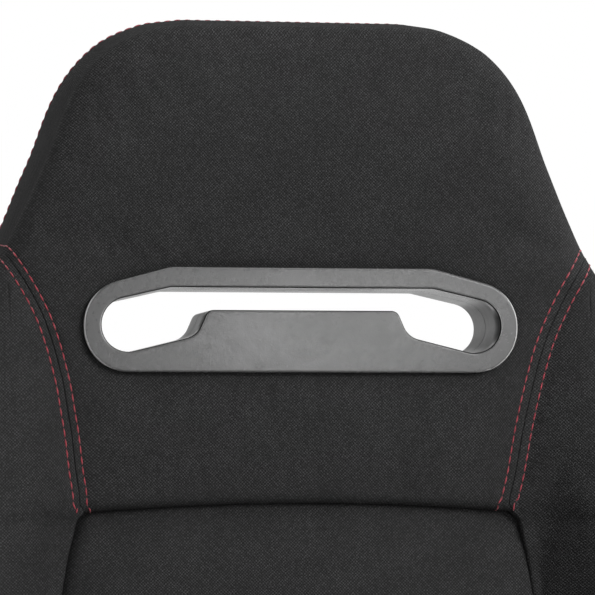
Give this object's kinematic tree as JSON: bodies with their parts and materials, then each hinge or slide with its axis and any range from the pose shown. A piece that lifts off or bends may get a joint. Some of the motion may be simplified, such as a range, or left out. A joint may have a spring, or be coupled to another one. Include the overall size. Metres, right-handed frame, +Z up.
{
  "type": "reclining sport seat",
  "caption": "Reclining sport car seat on slide rails, with an integral head section, a harness slot with a moulded bezel, side wings and a lift lever for the recliner.",
  "frame": {"origin": "centre of the four floor holes, on the underside of the lower rails", "axes": "+Z up, +Y to the rear (the occupant faces -Y), +X to the right of someone looking at the seat's front"},
  "size_m": [0.5676, 0.7155, 0.9659],
  "materials": {
    "rail_zinc": "zinc plated sheet",
    "bearing_steel": "ground steel",
    "plated_hardware": "yellow zinc",
    "frame_black": "black powder coat",
    "spring_steel": "oiled spring wire",
    "trim_plastic": "grained black",
    "bezel_plastic": "satin dark grey",
    "black_screws": "black oxide",
    "handle_rubber": "matt sleeve",
    "seat_cloth": "fine woven black cloth",
    "foam": "moulded foam"
  },
  "bodies": {
    "floor_rails": {"lower_rail_left": "rail_zinc", "lower_rail_right": "rail_zinc"},
    "seat_base": {"upper_rail_left": "rail_zinc", "upper_rail_right": "rail_zinc", "side_frame_left": "frame_black", "side_frame_right": "frame_black", "recliner_bracket_left": "frame_black", "recliner_bracket_right": "frame_black", "recliner_spring_left": "spring_steel", "recliner_spring_right": "spring_steel", "side_cover_left": "trim_plastic", "side_cover_right": "trim_plastic", "cushion_bolster_left": "seat_cloth", "cushion_bolster_right": "seat_cloth", "slide_lock_pins": "plated_hardware", "frame_bolts": "plated_hardware", "frame_nuts": "plated_hardware", "front_cross_tube": "frame_black", "rear_cross_tube": "frame_black", "cushion_springs": "spring_steel", "cushion_foam": "foam", "cushion_center": "seat_cloth", "cushion_nose": "seat_cloth", "front_apron": "seat_cloth", "recliner_bracket_bolts": "plated_hardware", "recliner_pivot_pins": "plated_hardware", "pivot_washers": "plated_hardware", "side_cover_screws": "black_screws"},
    "bearing_cage": {"slide_balls": "bearing_steel", "slide_rollers": "bearing_steel"},
    "latch_left": {"slide_latch_left": "frame_black"},
    "latch_right": {"slide_latch_right": "frame_black"},
    "slide_bar": {"slide_handle": "frame_black", "slide_handle_sleeve": "handle_rubber"},
    "release": {"recliner_pawl_left": "frame_black", "recliner_pawl_right": "frame_black", "release_rod": "plated_hardware", "release_lever": "trim_plastic", "release_lever_cap": "trim_plastic"},
    "backrest": {"recliner_arm_left": "frame_black", "recliner_arm_right": "frame_black", "arm_cover_left": "trim_plastic", "arm_cover_right": "trim_plastic", "back_wing_left": "seat_cloth", "back_wing_right": "seat_cloth", "back_hoop": "frame_black", "back_cross_tubes": "frame_black", "back_springs": "spring_steel", "back_spring_clips": "trim_plastic", "arm_spacers": "plated_hardware", "arm_bolts": "plated_hardware", "arm_nuts": "plated_hardware", "back_foam": "foam", "back_boxing": "seat_cloth", "back_rear_panel": "seat_cloth", "head_pad": "seat_cloth", "back_insert": "seat_cloth", "harness_bezel_front": "bezel_plastic", "harness_bezel_rear": "bezel_plastic", "bezel_screws": "black_screws"}
  },
  "joints": [
    {"name": "seat_slide", "type": "slide", "parent": "floor_rails", "child": "seat_base", "axis": [0, -1, 0], "range_m": [-0.1, 0.1]},
    {"name": "bearing_roll", "type": "slide", "parent": "floor_rails", "child": "bearing_cage", "axis": [0, -1, 0], "range_m": [-0.05, 0.05]},
    {"name": "slide_handle_lift", "type": "hinge", "parent": "seat_base", "child": "slide_bar", "pos_m": [0, -0.07, 0.0368], "axis": [-1, 0, 0], "range_deg": [0, 5]},
    {"name": "latch_left_turn", "type": "hinge", "parent": "seat_base", "child": "latch_left", "pos_m": [-0.166, 0, 0.029], "axis": [0, 1, 0], "range_deg": [0, 16.5]},
    {"name": "latch_right_turn", "type": "hinge", "parent": "seat_base", "child": "latch_right", "pos_m": [0.166, 0, 0.029], "axis": [0, -1, 0], "range_deg": [0, 16.5]},
    {"name": "recliner_release", "type": "hinge", "parent": "seat_base", "child": "release", "pos_m": [0, 0.15, 0.127], "axis": [-1, 0, 0], "range_deg": [0, 15]},
    {"name": "recline", "type": "hinge", "parent": "seat_base", "child": "backrest", "pos_m": [0, 0.2, 0.185], "axis": [-1, 0, 0], "range_deg": [-35, 55], "deforming": ["recliner_spring_left", "recliner_spring_right"]}
  ],
  "couplings": [
    {"joint": "bearing_roll", "follows": "seat_slide", "ratio": 0.5},
    {"joint": "latch_left_turn", "follows": "slide_handle_lift", "ratio": 3.3},
    {"joint": "latch_right_turn", "follows": "slide_handle_lift", "ratio": 3.3}
  ]
}
